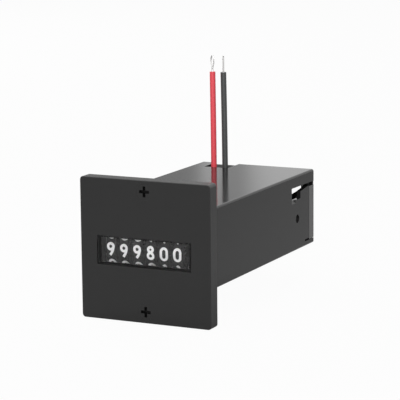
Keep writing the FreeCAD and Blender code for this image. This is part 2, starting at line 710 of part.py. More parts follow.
def drive_star():
    """The ten-tooth star beside the units wheel, which the fork steps round."""
    body = new_body("drive_star")
    disc = sketch_on(body, "star_disc", "XY_Plane")
    end, bore = "star_wide + star_hub_long", "shaft_radius + bore_gap"
    outline(disc, [
        ("0", bore), ("0", "star_root"), ("star_wide", "star_root"),
        ("star_wide", "star_hub_radius"), (end, "star_hub_radius"), (end, bore),
    ])
    revolve(body, disc)
    point = sketch_on(body, "star_tooth", "YZ_Plane")
    outline(point, [
        ("star_root - disc_wide", "-star_root / 4"), ("star_root", "-star_root / 4"),
        ("star_radius", "-disc_wide / 4"), ("star_radius", "disc_wide / 4"),
        ("star_root", "star_root / 4"), ("star_root - disc_wide", "star_root / 4"),
    ])
    ring_of(body, pad(body, point, "star_wide"), "star_teeth")
    body.Placement = Placement(Vector(), Rotation(Vector(1, 0, 0), 90 + 18))
    move(body, "star_left", "shaft_y", "window_z")
    return piece(body, "drive_star")


def shafts():
    left, right = "cheek_left - frame_thick", "cheek_right + frame_thick"
    piece(rod("wheel_shaft", "X", left, right, "shaft_radius", y="shaft_y", z="window_z"),
          "wheel_shaft")
    piece(rod("pinion_shaft", "X", left, right, "pinion_shaft_radius", y="pinion_y", z="pinion_z"),
          "pinion_shaft")
    piece(rod("armature_pin", "X", left, right, "pivot_radius", y="pivot_y", z="pivot_z"),
          "armature_pin")


def mechanism_frame():
    """Sheet frame: two cheeks that carry the shafts, joined by a floor under the coil."""
    body = new_body("mechanism_frame")
    cheek = [
        ("0", "window_z - spigot_long"), ("pinion_y", "pinion_z - 3 * pinion_shaft_radius"),
        ("frame_foot", "floor_low"), ("frame_cheek", "floor_low"),
        ("frame_cheek", "stop_z + 3 * stop_high / 2"), ("lug_back", "stop_z + 3 * stop_high / 2"),
        ("shaft_y", "window_z + 5 * shaft_radius"), ("0", "window_z + spigot_long"),
    ]
    for name, start in (("left_cheek", "cheek_left - frame_thick"), ("right_cheek", "cheek_right")):
        sketch = sketch_on(body, name, "YZ_Plane", start)
        outline(sketch, cheek)
        pad(body, sketch, "frame_thick")
        if name == "left_cheek":
            floor = sketch_on(body, "frame_floor", "XY_Plane", "floor_low")
            left, right = "cheek_left - frame_thick", "cheek_right + frame_thick"
            outline(floor, [
                (left, "frame_foot"), (right, "frame_foot"), (right, "frame_cheek"),
                ("yoke_wide / 2", "frame_cheek"), ("yoke_wide / 2", "upright_back"),
                ("-yoke_wide / 2", "upright_back"), ("-yoke_wide / 2", "frame_cheek"),
                (left, "frame_cheek"),
            ])
            pad(body, floor, "frame_thick")
    lug = sketch_on(body, "spring_lug", "XZ_Plane", "-(lug_back)")
    rectangle(lug, "cheek_left - frame_thick", "spring_x + spring_radius + spring_wire",
              "spring_z - lug_high / 2", "spring_z + lug_high / 2")
    pad(body, lug, "frame_thick")
    stop = sketch_on(body, "armature_stop", "XZ_Plane", "-(armature_front - fixed_gap)")
    rectangle(stop, "cheek_left - frame_thick", "stop_reach - armature_wide / 2",
              "stop_z - stop_high / 2", "stop_z + stop_high / 2")
    pad(body, stop, "frame_thick")
    holes = sketch_on(body, "shaft_holes", "YZ_Plane")
    circle(holes, "shaft_y", "window_z", "shaft_radius + fixed_gap")
    circle(holes, "pinion_y", "pinion_z", "pinion_shaft_radius + fixed_gap")
    circle(holes, "pivot_y", "pivot_z", "pivot_radius + fixed_gap")
    pocket(body, holes, "body_wide", both=True)
    return piece(body, "mechanism_frame")


# Armature, fork and return spring

def armature():
    half = "armature_wide / 2"
    plate = box("armature_plate", (f"-{half}", half), ("armature_front", "armature_back"),
                ("pivot_z", "armature_top"))
    wings = box("armature_wings",
                ("spring_x - spring_radius - spring_wire", "fork_left + fork_thick"),
                ("armature_front", "armature_back"), ("wing_low", "wing_top"))
    eye = rod("armature_eye", "X", f"-{half}", half, "eye_radius", y="pivot_y", z="pivot_z")
    bore = rod("armature_bore", "X", "-armature_wide", "armature_wide",
               "pivot_radius + bore_gap", y="pivot_y", z="pivot_z")
    blank = join("armature_blank", plate, wings, eye)
    return piece(cut("armature", blank, bore), "armature")


def drive_fork():
    """The fork on the armature's right wing, with a pallet above and one below the star."""
    body = new_body("drive_fork")
    sketch = sketch_on(body, "fork_outline", "YZ_Plane", "fork_left")
    cross_front = "shaft_y + fork_back"
    cross_back = f"{cross_front} + fork_arm"
    pallet_back = "shaft_y + pallet_wide / 2"
    pallet_front = "shaft_y - pallet_wide / 2"
    low_arm_top = "pallet_low_tip - pallet_high / 2"
    low_arm_bottom = f"{low_arm_top} - fork_arm / 2"
    beam_top = "beam_low + fork_beam"
    outline(sketch, [
        ("armature_front", beam_top), (pallet_front, beam_top), (pallet_front, "pallet_top_tip"),
        (pallet_back, "pallet_top_tip"), (pallet_back, "beam_low"), (cross_front, "beam_low"),
        (cross_front, low_arm_top), (pallet_back, low_arm_top), (pallet_back, "pallet_low_tip"),
        (pallet_front, "pallet_low_tip"), (pallet_front, low_arm_bottom),
        (cross_back, low_arm_bottom), (cross_back, "wing_low"), ("armature_front", "wing_low"),
    ])
    pad(body, sketch, "fork_thick")
    return piece(body, "drive_fork")


def return_spring():
    """Helical spring of square wire between the frame's lug and the armature's left wing."""
    radius, wire, pitch = value("spring_radius"), value("spring_wire"), value("spring_pitch")
    start, length = value("lug_back + spring_wire"), value("armature_front - lug_back - 2 * spring_wire")
    centre = Vector(value("spring_x"), start, value("spring_z"))
    steps = math.ceil(10 * length / pitch)
    sections = []
    for k in range(steps + 1):
        turn = 2 * math.pi * length / pitch * k / steps
        outward = Vector(math.cos(turn), 0, math.sin(turn))
        onward = Vector(-radius * math.sin(turn), pitch / (2 * math.pi), radius * math.cos(turn))
        across = onward.cross(outward)
        across.normalize()
        middle = centre + outward * radius + Vector(0, length * k / steps, 0)
        ring = [middle + (outward * math.cos(a) + across * math.sin(a)) * wire
                for a in (math.pi / 4 * side for side in (1, 3, 5, 7))]
        sections.append(Part.makePolygon(ring + ring[:1]))
    item = DOC.addObject("Part::Feature", "return_spring")
    item.Shape = Part.makeLoft(sections, True, True)
    item.Placement = Placement()
    return piece(item, "return_spring")


# Coil, yoke and terminals

def coil_bobbin():
    half, tube = "flange_wide / 2", "(core_radius + core_gap + tube_wall)"
    flanges = []
    for name, start in (("front", "bobbin_front"), ("rear", "bobbin_back - flange_thick")):
        flange = new_body(f"flange_{name}")
        sketch = sketch_on(flange, f"flange_{name}_outline", "XZ_Plane", f"-({start})")
        low, high = "core_z - flange_high / 2", "core_z + flange_high / 2"
        outline(sketch, [
            (f"flange_corner - {half}", low), (f"{half} - flange_corner", low),
            (half, f"{low} + flange_corner"), (half, f"{high} - flange_corner"),
            (f"{half} - flange_corner", high), (f"flange_corner - {half}", high),
            (f"-{half}", f"{high} - flange_corner"), (f"-{half}", f"{low} + flange_corner"),
        ])
        pad(flange, sketch, "flange_thick", reverse=True)
        flanges.append(flange)
    sleeve = rod("bobbin_tube", "Y", "bobbin_front", "bobbin_back", tube, z="core_z")
    block = box("terminal_block", ("red_x - block_side", "-(yoke_wide / 2 + block_gap)"),
                ("bobbin_back - flange_thick", "bobbin_back + block_long"),
                ("block_low", "block_top"))
    bore = rod("bobbin_bore", "Y", "bobbin_front - flange_thick", "bobbin_back + flange_thick",
               "core_radius + core_gap", z="core_z")
    blank = join("bobbin_blank", *flanges, sleeve, block)
    return piece(cut("coil_bobbin", blank, bore), "coil_bobbin")


def coil_winding():
    body = new_body("coil_winding")
    section = sketch_on(body, "winding_section", "XY_Plane")
    start, end = "bobbin_front + flange_thick", "bobbin_back - flange_thick"
    rectangle(section, start, end, "core_radius + core_gap + tube_wall + winding_gap",
              "winding_radius")
    revolve(body, section)
    body.Placement = Placement(Vector(), Rotation(Vector(0, 0, 1), 90))
    move(body, 0, 0, "core_z")
    return piece(body, "coil_winding")


def iron_circuit():
    """Core, yoke and the screw that holds them together."""
    core = rod("core_bar", "Y", "pole_y", "upright_front", "core_radius", z="core_z")
    hole = rod("core_hole", "Y", "upright_front - core_screw_long - fixed_gap", "upright_back",
               "core_screw_radius + fixed_gap", z="core_z")
    piece(cut("iron_core", core, hole), "iron_core")
    half = "yoke_wide / 2"
    base = box("yoke_base", (f"-{half}", half), ("pivot_y + yoke_start", "upright_back"),
               ("floor_top", "floor_top + yoke_thick"))
    upright = box("yoke_upright", (f"-{half}", half), ("upright_front", "upright_back"),
                  ("floor_top", "yoke_top"))
    through = rod("yoke_hole", "Y", "upright_front - yoke_thick", "upright_back + yoke_thick",
                  "core_screw_radius + fixed_gap", z="core_z")
    piece(cut("yoke", join("yoke_blank", base, upright), through), "yoke")
    shank = rod("core_screw_shank", "Y", "upright_front - core_screw_long",
                "upright_back", "core_screw_radius", z="core_z")
    head = rod("core_screw_head", "Y", "upright_back", "upright_back + core_head_high",
               "core_head_radius", z="core_z")
    slot = box("core_screw_slot", ("-core_slot_wide / 2", "core_slot_wide / 2"),
               ("upright_back + core_head_high - core_slot_deep",
                "upright_back + core_head_high + core_slot_deep"),
               ("core_z - 2 * core_head_radius", "core_z + 2 * core_head_radius"))
    piece(cut("core_screw", join("core_screw_blank", shank, head), slot), "core_screw")


def terminal_tags():
    for colour in ("red", "black"):
        centre = colour + "_x"
        tag = box(f"{colour}_tag", (f"{centre} - tag_wide / 2", f"{centre} + tag_wide / 2"),
                  ("lead_y - tag_thick / 2", "lead_y + tag_thick / 2"), ("block_top", "tag_top"))
        piece(tag, f"{colour}_terminal_tag")


# Leads

def lead_points(colour):
    """The lead's route: straight up through the guide, then leaning slightly."""
    x, y, foot = value(colour + "_x"), value("lead_y"), value("tag_top")
    lean = value(colour + "_lean")
    return [Vector(x, y, foot), Vector(x, y, value("lead_bend")),
            Vector(x - lean, y, value("lead_top"))]


def route(points):
    """Straight runs joined by tangent arcs, each as large as its two runs allow."""
    edges, start = [], points[0]
    for before, corner, after in zip(points, points[1:], points[2:]):
        back, ahead = before - corner, after - corner
        shorter = min(back.Length, ahead.Length)
        half_turn = (math.pi - back.getAngle(ahead)) / 2
        radius = 0.45 * shorter / math.tan(half_turn)
        back.normalize()
        ahead.normalize()
        first, last = corner + back * 0.45 * shorter, corner + ahead * 0.45 * shorter
        inward = back + ahead
        inward.normalize()
        middle = corner + inward * radius * (1 / math.cos(half_turn) - 1)
        edges.append(Part.LineSegment(start, first).toShape())
        edges.append(Part.Arc(first, middle, last).toShape())
        print("lead bend radius %.0f mm" % radius)
        start = last
    edges.append(Part.LineSegment(start, points[-1]).toShape())
    return Part.Wire(edges)


def lead(colour):
    path = route(lead_points(colour))
    section = Part.Wire(Part.makeCircle(value("lead_radius"), lead_points(colour)[0]))
    tube = path.makePipeShell([section], True, True)
    expected = math.pi * value("lead_radius") ** 2 * path.Length
    print("%s lead %.2f mm long, volume %.4f of its section times its length"
          % (colour, path.Length, tube.Volume / expected))
    item = DOC.addObject("Part::Feature", f"{colour}_lead")
    item.Shape = tube
    item.Placement = Placement()
    piece(item, f"{colour}_lead")
    top = lead_points(colour)[-1]
    bare = DOC.addObject("Part::Cylinder", f"{colour}_strands")
    tie(bare, {"Radius": "strand_radius", "Height": "strand_long"})
    bare.Placement = Placement(top, Rotation())
    piece(bare, f"{colour}_strands")


def build():
    front_plate()
    window_lens()
    plate_screw("upper_plate_screw", "")
    plate_screw("lower_plate_screw", "-")
    housing()
    rear_cover()
    lead_guide()
    mechanism_frame()
    shafts()
    for place in range(1, 7):
        number_wheel(place)
    for place in range(1, 6):
        carry_pinion(place)
    drive_star()
    armature()
    drive_fork()
    return_spring()
    coil_bobbin()
    coil_winding()
    iron_circuit()
    terminal_tags()
    lead("red")
    lead("black")
    DOC.recompute()


def check():
    """Stops if an object failed or a sub-part has no sound shape."""
    for item in DOC.Objects:
        faults = [state for state in item.State if state in ("Invalid", "Error")]
        if faults:
            raise RuntimeError(f"{item.Name} is {faults}")
    for item in PIECES:
        if item.Shape.isNull() or not item.Shape.isValid() or not item.Shape.Solids:
            raise RuntimeError(f"{item.Label} has no valid shape")


def export():
    os.makedirs("parts", exist_ok=True)
    for item in PIECES:
        item.Shape.exportStep(f"parts/{item.Label}.step")


build()
check()
export()
for item in PIECES:
    size = item.Shape.BoundBox
    print("%-20s solids %d volume %8.1f  x %.2f %.2f  y %.2f %.2f  z %.2f %.2f" % (
        item.Label, len(item.Shape.Solids), item.Shape.Volume,
        size.XMin, size.XMax, size.YMin, size.YMax, size.ZMin, size.ZMax))
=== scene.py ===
import json
import math

import bmesh
import bpy
from bpy.props import FloatProperty, FloatVectorProperty, IntProperty, PointerProperty
from mathutils import Matrix, Vector


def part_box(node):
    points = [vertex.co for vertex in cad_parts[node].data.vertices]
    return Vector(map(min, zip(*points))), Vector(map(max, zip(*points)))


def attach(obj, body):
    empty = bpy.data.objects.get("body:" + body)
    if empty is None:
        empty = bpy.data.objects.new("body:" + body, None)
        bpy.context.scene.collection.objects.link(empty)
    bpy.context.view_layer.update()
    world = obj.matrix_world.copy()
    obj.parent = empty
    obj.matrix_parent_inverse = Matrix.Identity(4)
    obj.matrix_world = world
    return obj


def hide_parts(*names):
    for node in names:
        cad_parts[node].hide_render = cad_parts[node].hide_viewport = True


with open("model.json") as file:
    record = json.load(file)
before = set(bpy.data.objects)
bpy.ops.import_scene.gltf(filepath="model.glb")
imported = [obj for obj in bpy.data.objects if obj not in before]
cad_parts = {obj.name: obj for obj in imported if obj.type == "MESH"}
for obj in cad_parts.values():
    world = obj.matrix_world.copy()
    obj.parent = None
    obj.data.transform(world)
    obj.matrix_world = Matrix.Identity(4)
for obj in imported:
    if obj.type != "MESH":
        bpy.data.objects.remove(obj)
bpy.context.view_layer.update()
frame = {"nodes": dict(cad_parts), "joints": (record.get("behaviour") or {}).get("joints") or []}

bl_info = {
    "name": "Panel counter",
    "version": (1, 0, 0),
    "blender": (4, 5, 0),
    "location": "3D View > Sidebar > Counter",
    "description": "Finishes, leads, figures and stage of an electromechanical panel counter",
    "category": "Object",
}

NODES = frame["nodes"]
WHEELS = [f"number_wheel_{k}" for k in range(1, 7)]
PINIONS = [f"carry_pinion_{k}" for k in range(1, 6)]

# Finishes of moulded plastic: the colour or the setting that holds it, grain size, grain depth,
# roughness, shade change, and the shader's own constants
PLASTICS = {
    "Front plate plastic": ("front_color", 5200, 0.12, 0.28, 0.1, {"IOR": 1.45}),
    "Housing plastic": ("housing_color", 4200, 0.03, 0.09, 0.1, {"IOR": 1.4}),
    # Its colour, ten times the housing's, is a painted highlight: the tongue's faces are painted
    # lighter for the light that they catch
    "Rear cover plastic": ((0.125, 0.125, 0.125), 3600, 0.1, 0.45, 0.1, {"IOR": 1.45}),
    "Wheel plastic": ("wheel_color", 8000, 0.1, 0.5, 0.15, {"IOR": 1.45}),
    "Figure print": ("figure_color", 9000, 0.05, 0.6, 0.08, {"IOR": 1.45}),
    "Guide rubber": ((0.012, 0.012, 0.012), 3000, 0.25, 0.62, 0.2,
                     {"IOR": 1.5, "Specular IOR Level": 0.15}),
    "Natural acetal": ((0.72, 0.7, 0.62), 5000, 0.06, 0.4, 0.06, {"IOR": 1.48}),
    "Bobbin plastic": ((0.03, 0.03, 0.032), 3500, 0.1, 0.45, 0.1, {"IOR": 1.5}),
    "Red insulation": ("red_color", 1800, 0.1, 0.4, 0.12, {"IOR": 1.5}),
    "Black insulation": ("black_color", 1800, 0.1, 0.45, 0.15, {"IOR": 1.5}),
}

# Finishes of worked metal: colour, lines along the three axes, their depth, roughness, and the
# shader's own constants
METALS = {
    "Zinc plated sheet": ((0.56, 0.56, 0.54), (400, 400, 5000), 0.1, 0.32, {"Metallic": 1.0}),
    "Ground steel": ((0.62, 0.62, 0.62), (300, 6000, 6000), 0.12, 0.2, {"Metallic": 1.0}),
    # Near-black: the colour of the screws' shanks and threads, and painted shade in the screw
    # heads' cross recesses and on the pegs' faces under the latch windows
    "Dark recess": ((0.004, 0.004, 0.004), (2500, 2500, 2500), 0.1, 0.5,
                    {"Metallic": 0.0, "IOR": 1.3}),
    "Enamelled wire": ((0.5, 0.17, 0.06), (20, 9000, 20), 0.6, 0.25,
                       {"Metallic": 1.0, "Coat Weight": 0.5, "Coat Roughness": 0.15}),
    "Brass tag": ((0.62, 0.46, 0.2), (3000, 3000, 300), 0.1, 0.25, {"Metallic": 1.0}),
    "Tinned copper": ((0.72, 0.71, 0.7), (4000, 4000, 400), 0.1, 0.25, {"Metallic": 1.0}),
}
WHITE = (1, 1, 1, 1)
CLEAR = {"Base Color": WHITE, "Roughness": 0.04, "IOR": 1.4, "Transmission Weight": 1.0}

# The pieces that keep their CAD meshes, by finish
DRESSED = {
    "Front plate plastic": ["front_plate"],
    "Housing plastic": ["housing"],
    "Guide rubber": ["lead_guide"],
    "Wheel plastic": [*WHEELS, "drive_star"],
    "Natural acetal": PINIONS,
    "Bobbin plastic": ["coil_bobbin"],
    "Zinc plated sheet": ["mechanism_frame", "yoke", "armature", "drive_fork", "iron_core"],
    "Ground steel": ["wheel_shaft", "pinion_shaft", "armature_pin", "core_screw"],
    "Brass tag": ["red_terminal_tag", "black_terminal_tag"],
}

# Tolerances in telling which vertices belong to a form, in metres
NEAR, CLOSE, SAME = 0.0001, 0.00002, 0.00001

# The plate screws, in metres. Places run along Y, from the plate's back
SHANK_RADIUS = 0.0015
HEAD_RIM = 0.0026  # What stands further out is the head's rim
HEAD_BACK = -0.0022
RECESS_REACH, RECESS_FOOT = 0.0021, -0.0026
RECESS_TOP = 0.00005  # From the head's face
THREAD_GAP = 0.0003  # Bare shank at each end of the thread
THREAD_PITCH, THREAD_SUNK = 1.25, 0.45  # In widths of the thread

# The coils
COIL_STEPS = 12  # Control points for each turn of a wire
RING_SIDES = 64  # Sides of the winding
SPRING_END_ROOM = 0.55  # From the spring's end to its wire's middle, in diameters
TURN_DIP = 0.3  # Depth between two turns of the winding, in pitches

# The rear cover, in metres: the opening behind each latch window, the tongue in the window, the
# peg below it, and the forms that are added, as corners across X and Z and a front end along Y
OPENING_END, OPENING_END_SHOWN = 0.0174, 0.0189
OPENING_HEIGHTS = (0.005, 0.011)
# Faces beyond TONGUE_FACE are painted lighter, a painted highlight; faces beyond PEG_FACE and ahead
# of PEG_BACK are painted near-black, painted shade
TONGUE_FACE = 0.0224
PEG_FACE, PEG_BACK = 0.0207, 0.0809
COVER_REAR = 0.0852
SLANT, SLANT_FRONT = [(0.01386, 0.00558), (0.01892, 0.00558), (0.01892, 0.00872)], 0.0836
SLIT_LIP = [(0.0207, 0.00985), (0.0224, 0.00985), (0.0224, 0.01115), (0.0207, 0.01115)]
SLIT_LIP_FRONT = 0.0843

# Control points of the two leads, in metres: straight up through the guide, then a slight lean
RED_ROUTE = [(-0.0144, 0.0785, 0.009), (-0.0144, 0.0785, 0.025), (-0.01467, 0.0785, 0.0502)]
BLACK_ROUTE = [(-0.00985, 0.0785, 0.009), (-0.00985, 0.0785, 0.025), (-0.0103, 0.0785, 0.0502)]

# The bare wires. A course gives places by share of the bare end and by share of the bow
STRANDS = 5
STRAND_TURN = 0.4  # Turn of the bunch about the lead, in radians
STRAND_SPREAD = 0.0002  # From the lead's middle to a wire's middle
STRAND_TUCK = 0.0008  # Length of wire inside the insulation
EYE_BOW, EYE_BOW_STEP, EYE_DEPTH = 0.00046, 0.00005, 0.00012
EYE_COURSE = [(0.14, 0.3), (0.32, 0.35), (0.5, 0.9), (0.68, 1.05), (0.88, 0.95), (1.0, 0.25)]
BUNCH_COURSE = [(0.2, 1.0), (0.45, 0.8), (0.7, 0.9), (1.0, 0.7)]

# The print on the wheels, in metres
RIM_RADIUS = 0.0094
PRINT_LIFT = 0.00002  # Of the print above the rim
PRINT_DEPTH = 0.00004  # Of the print in all, its foot being inside the rim
MITRE_LIMIT = 0.55  # Least cosine of half a corner that a stroke's edges follow in full
FIELD_WIDTH, FIELD_HEIGHT = 3.05, 4.95  # Of the field below that a figure's size spans

# The stage. A light has its place, its aim, its size and the setting that holds its power
FLOOR_REACH = 3.0
FLOOR_COLOR = (0.44, 0.44, 0.44, 1)
FLOOR_TO_CAMERA, FLOOR_TO_CLEAR = 0.96, 0.35  # How white the floor shows itself
LIGHTS = {
    "Overhead light": ((-0.1, -0.1, 0.9), (0, 0.03, 0), 0.9, "key_strength"),
    "Front light": ((0.45, -0.9, 0.38), (0, 0, 0), 0.5, "front_strength"),
    "Rear light": ((-0.9, 0.75, 0.5), (0, 0.04, 0), 0.5, "rear_strength"),
}
CAMERA_PLACE = (0.291873, -0.561268, 0.131168)
CAMERA_FORWARD = (-0.43146, 0.88433, -0.1783)
CAMERA_UP = (-0.06945, 0.1645, 0.98393)
SENSOR_WIDTH = 36  # In millimetres
NEAREST_SEEN = 0.01  # In metres

# Brightness of the rear wall, seen in glossy faces, from left to right over its span
WALL_SPAN = math.radians(6)
WALL_PANELS = [(0.0, 0.4), (0.33, 0.4), (0.355, 1.0), (0.41, 1.0), (0.44, 0.45), (0.54, 0.47),
               (0.6, 0.85), (0.68, 1.0), (1.0, 1.0)]

# The figures, as strokes in a field 3 wide and 5 high with its middle at 0, 0
FIGURES = {
    "0": [[(0, 2.1), (1.02, 1.5), (1.1, 0), (1.02, -1.5), (0, -2.1), (-1.02, -1.5), (-1.1, 0),
           (-1.02, 1.5), (0, 2.1)]],
    "1": [[(-0.7, 1.4), (0.15, 2.1), (0.15, -2.1)]],
    "2": [[(-1.0, 1.3), (-0.7, 1.9), (0, 2.1), (0.8, 1.85), (1.02, 1.1), (0.6, 0.2), (-1.0, -2.05),
           (1.1, -2.05)]],
    "3": [[(-1.0, 1.5), (-0.5, 2.05), (0.3, 2.05), (0.95, 1.5), (0.9, 0.7), (0.1, 0.2),
           (0.95, -0.3), (1.05, -1.3), (0.4, -2.05), (-0.5, -2.05), (-1.05, -1.4)]],
    "4": [[(0.5, -2.1), (0.5, 2.1), (-1.15, -0.9), (1.15, -0.9)]],
    "5": [[(0.95, 2.05), (-0.8, 2.05), (-0.95, 0.25), (0, 0.6), (0.9, 0.15), (1.05, -0.9),
           (0.6, -1.85), (-0.3, -2.1), (-1.05, -1.5)]],
    "6": [[(0.7, 2.1), (-0.4, 1.1), (-1.02, -0.4), (-0.95, -1.5), (0, -2.1), (0.95, -1.5),
           (1.0, -0.5), (0.3, 0.25), (-0.5, 0.1), (-1.0, -0.7)]],
    "7": [[(-1.05, 2.05), (1.05, 2.05), (0.3, 0.2), (-0.25, -2.1)]],
    "8": [[(0, 0.22), (0.82, 0.75), (0.8, 1.65), (0, 2.1), (-0.8, 1.65), (-0.82, 0.75), (0, 0.22),
           (0.98, -0.45), (0.95, -1.6), (0, -2.1), (-0.95, -1.6), (-0.98, -0.45), (0, 0.22)]],
    "9": [[(0.98, 0.75), (0.5, 0), (-0.4, -0.1), (-1.0, 0.6), (-0.95, 1.6), (0, 2.1), (0.95, 1.5),
           (1.0, 0.5), (0.55, -0.9), (-0.35, -2.1)]],
}


# Settings that a user would change

class FinishSettings(bpy.types.PropertyGroup):
    front_color: FloatVectorProperty(
        name="Front plate", description="Colour of the front plate's plastic",
        subtype="COLOR", size=3, min=0, max=1, default=(0.017, 0.017, 0.017))
    housing_color: FloatVectorProperty(
        name="Housing", description="Colour of the housing's plastic",
        subtype="COLOR", size=3, min=0, max=1, default=(0.0125, 0.0125, 0.0125))
    wheel_color: FloatVectorProperty(
        name="Wheels", description="Colour of the number wheels",
        subtype="COLOR", size=3, min=0, max=1, default=(0.008, 0.008, 0.008))
    figure_color: FloatVectorProperty(
        name="Figures", description="Colour of the printed figures",
        subtype="COLOR", size=3, min=0, max=1, default=(0.97, 0.97, 0.97))
    red_color: FloatVectorProperty(
        name="Red lead", description="Colour of the red insulation",
        subtype="COLOR", size=3, min=0, max=1, default=(0.72, 0.065, 0.085))
    black_color: FloatVectorProperty(
        name="Black lead", description="Colour of the black insulation",
        subtype="COLOR", size=3, min=0, max=1, default=(0.045, 0.047, 0.047))


class FigureSettings(bpy.types.PropertyGroup):
    height: FloatProperty(
        name="Height", description="Height of a printed figure round its wheel",
        subtype="DISTANCE", unit="LENGTH", min=0.001, max=0.01, default=0.0049)
    width: FloatProperty(
        name="Width", description="Width of a printed figure",
        subtype="DISTANCE", unit="LENGTH", min=0.001, max=0.01, default=0.0031)
    stroke: FloatProperty(
        name="Stroke", description="Width of a figure's stroke",
        subtype="DISTANCE", unit="LENGTH", min=0.0001, max=0.003, default=0.0009)
    reading: IntProperty(
        name="Reading", description="Number that the six wheels show",
        min=0, max=999999, default=999800)
    play: FloatVectorProperty(
        name="Play", description="How far each wheel stands short of its figure, in degrees",
        size=6, min=-6, max=6, default=(0.2, 1.8, 1.8, 1.2, 1.4, 0.8))


class LeadSettings(bpy.types.PropertyGroup):
    diameter: FloatProperty(
        name="Diameter", description="Diameter of an insulated lead",
        subtype="DISTANCE", unit="LENGTH", min=0.001, max=0.005, default=0.0021)
    strand: FloatProperty(
        name="Strand", description="Diameter of one wire of the bare end",
        subtype="DISTANCE", unit="LENGTH", min=0.0001, max=0.001, default=0.0003)
    bare: FloatProperty(
        name="Bare end", description="Length of a lead's bare end",
        subtype="DISTANCE", unit="LENGTH", min=0.002, max=0.02, default=0.006)


class DetailSettings(bpy.types.PropertyGroup):
    window_fill: FloatProperty(
        name="Window fill", description="How much the window grows towards its opening's edges",
        subtype="DISTANCE", unit="LENGTH", min=0, max=0.0002, default=0.00014)
    window_rise: FloatProperty(
        name="Window rise", description="How much the window's face comes forward",
        subtype="DISTANCE", unit="LENGTH", min=0, max=0.0004, default=0.0003)
    head_fill: FloatProperty(
        name="Head fill", description="How much a screw head grows towards its hole's edge",
        subtype="DISTANCE", unit="LENGTH", min=0, max=0.0001, default=0.00009)
    head_rise: FloatProperty(
        name="Head rise", description="How much a screw head's face comes forward",
        subtype="DISTANCE", unit="LENGTH", min=0, max=0.0002, default=0.00017)
    thread: FloatProperty(
        name="Thread", description="Width of a plate screw's thread",
        subtype="DISTANCE", unit="LENGTH", min=0.0002, max=0.0006, default=0.0004)
    spring_wire: FloatProperty(
        name="Spring wire", description="Diameter of the return spring's wire",
        subtype="DISTANCE", unit="LENGTH", min=0.0002, max=0.0006, default=0.0004)
    spring_pitch: FloatProperty(
        name="Spring pitch", description="Pitch of the return spring's coils",
        subtype="DISTANCE", unit="LENGTH", min=0.001, max=0.004, default=0.0019)
    turn_pitch: FloatProperty(
        name="Turn pitch", description="Pitch of the winding's outer turns",
        subtype="DISTANCE", unit="LENGTH", min=0.0003, max=0.002, default=0.0005)


class StageSettings(bpy.types.PropertyGroup):
    floor_level: FloatProperty(
        name="Floor", description="Height of the floor",
        subtype="DISTANCE", unit="LENGTH", default=-0.0241)
    key_strength: FloatProperty(
        name="Key light", description="Power of the large soft light",
        min=0, default=5.0)
    front_strength: FloatProperty(
        name="Front light", description="Power of the soft light from the front",
        min=0, default=8.5)
    rear_strength: FloatProperty(
        name="Rear light", description="Power of the soft light from the left rear",
        min=0, default=6.0)
    world_strength: FloatProperty(
        name="Room light", description="Brightness of the light from all round",
        min=0, default=0.35)
    floor_gloss: FloatProperty(
        name="Floor in gloss", description="How white the floor shows itself in glossy faces",
        min=0, max=1, default=0.05)
    wall_turn: FloatProperty(
        name="Wall's turn", description="Direction of the room's grey and white wall panels",
        subtype="ANGLE", unit="ROTATION", default=math.radians(-28))
    lens: FloatProperty(
        name="Lens", description="Focal length of the camera, in millimetres",
        min=10, max=400, default=175.52)


# Materials

def node(tree, kind, place, *values, **fields):
    """A shader node. Values go to its first sockets, fields to what they name.

    A value that is another node's output is linked.
    """
    item = tree.nodes.new(kind)
    item.location = place
    sockets = []
    for key, value in fields.items():
        if key in item.inputs:
            sockets.append((item.inputs[key], value))
        else:
            setattr(item, key, value)
    for socket, value in [*zip(item.inputs, values), *sockets]:
        if isinstance(value, bpy.types.NodeSocket):
            tree.links.new(value, socket)
        else:
            socket.default_value = value
    return item


def blank_tree(owner, output):
    """The node tree of a material or world with nothing but its output."""
    owner.use_nodes = True
    owner.node_tree.nodes.clear()
    return owner.node_tree, node(owner.node_tree, output, (700, 0))


def group(name, inputs):
    """A shader node group that puts out colour, roughness and normal, and its two end nodes."""
    tree = bpy.data.node_groups.new(name, "ShaderNodeTree")
    for title, kind, default in inputs:
        socket = tree.interface.new_socket(title, in_out="INPUT", socket_type=f"NodeSocket{kind}")
        socket.default_value = default
    for title, kind in (("Color", "Color"), ("Roughness", "Float"), ("Normal", "Vector")):
        tree.interface.new_socket(title, in_out="OUTPUT", socket_type=f"NodeSocket{kind}")
    ins = node(tree, "NodeGroupInput", (-900, 0)).outputs
    outs = node(tree, "NodeGroupOutput", (600, 0)).inputs
    return tree, ins, outs


def finish_group(tree, ins, outs, cloud, relief, depth, shades, dulling, distance):
    """Ends a group: cloud moves the shade, relief moves the gloss and the height."""
    link = tree.links.new
    shade = node(tree, "ShaderNodeMath", (-400, 300), cloud, *shades, operation="MULTIPLY_ADD")
    tint = node(tree, "ShaderNodeVectorMath", (-150, 300), ins["Color"], operation="SCALE")
    link(shade.outputs[0], tint.inputs["Scale"])
    dull = node(tree, "ShaderNodeMath", (-150, 100), relief, dulling, ins["Roughness"],
                operation="MULTIPLY_ADD")
    bump = node(tree, "ShaderNodeBump", (100, -200), Distance=distance, Height=relief,
                Strength=depth)
    link(tint.outputs[0], outs["Color"])
    link(dull.outputs[0], outs["Roughness"])
    link(bump.outputs["Normal"], outs["Normal"])
    return tree


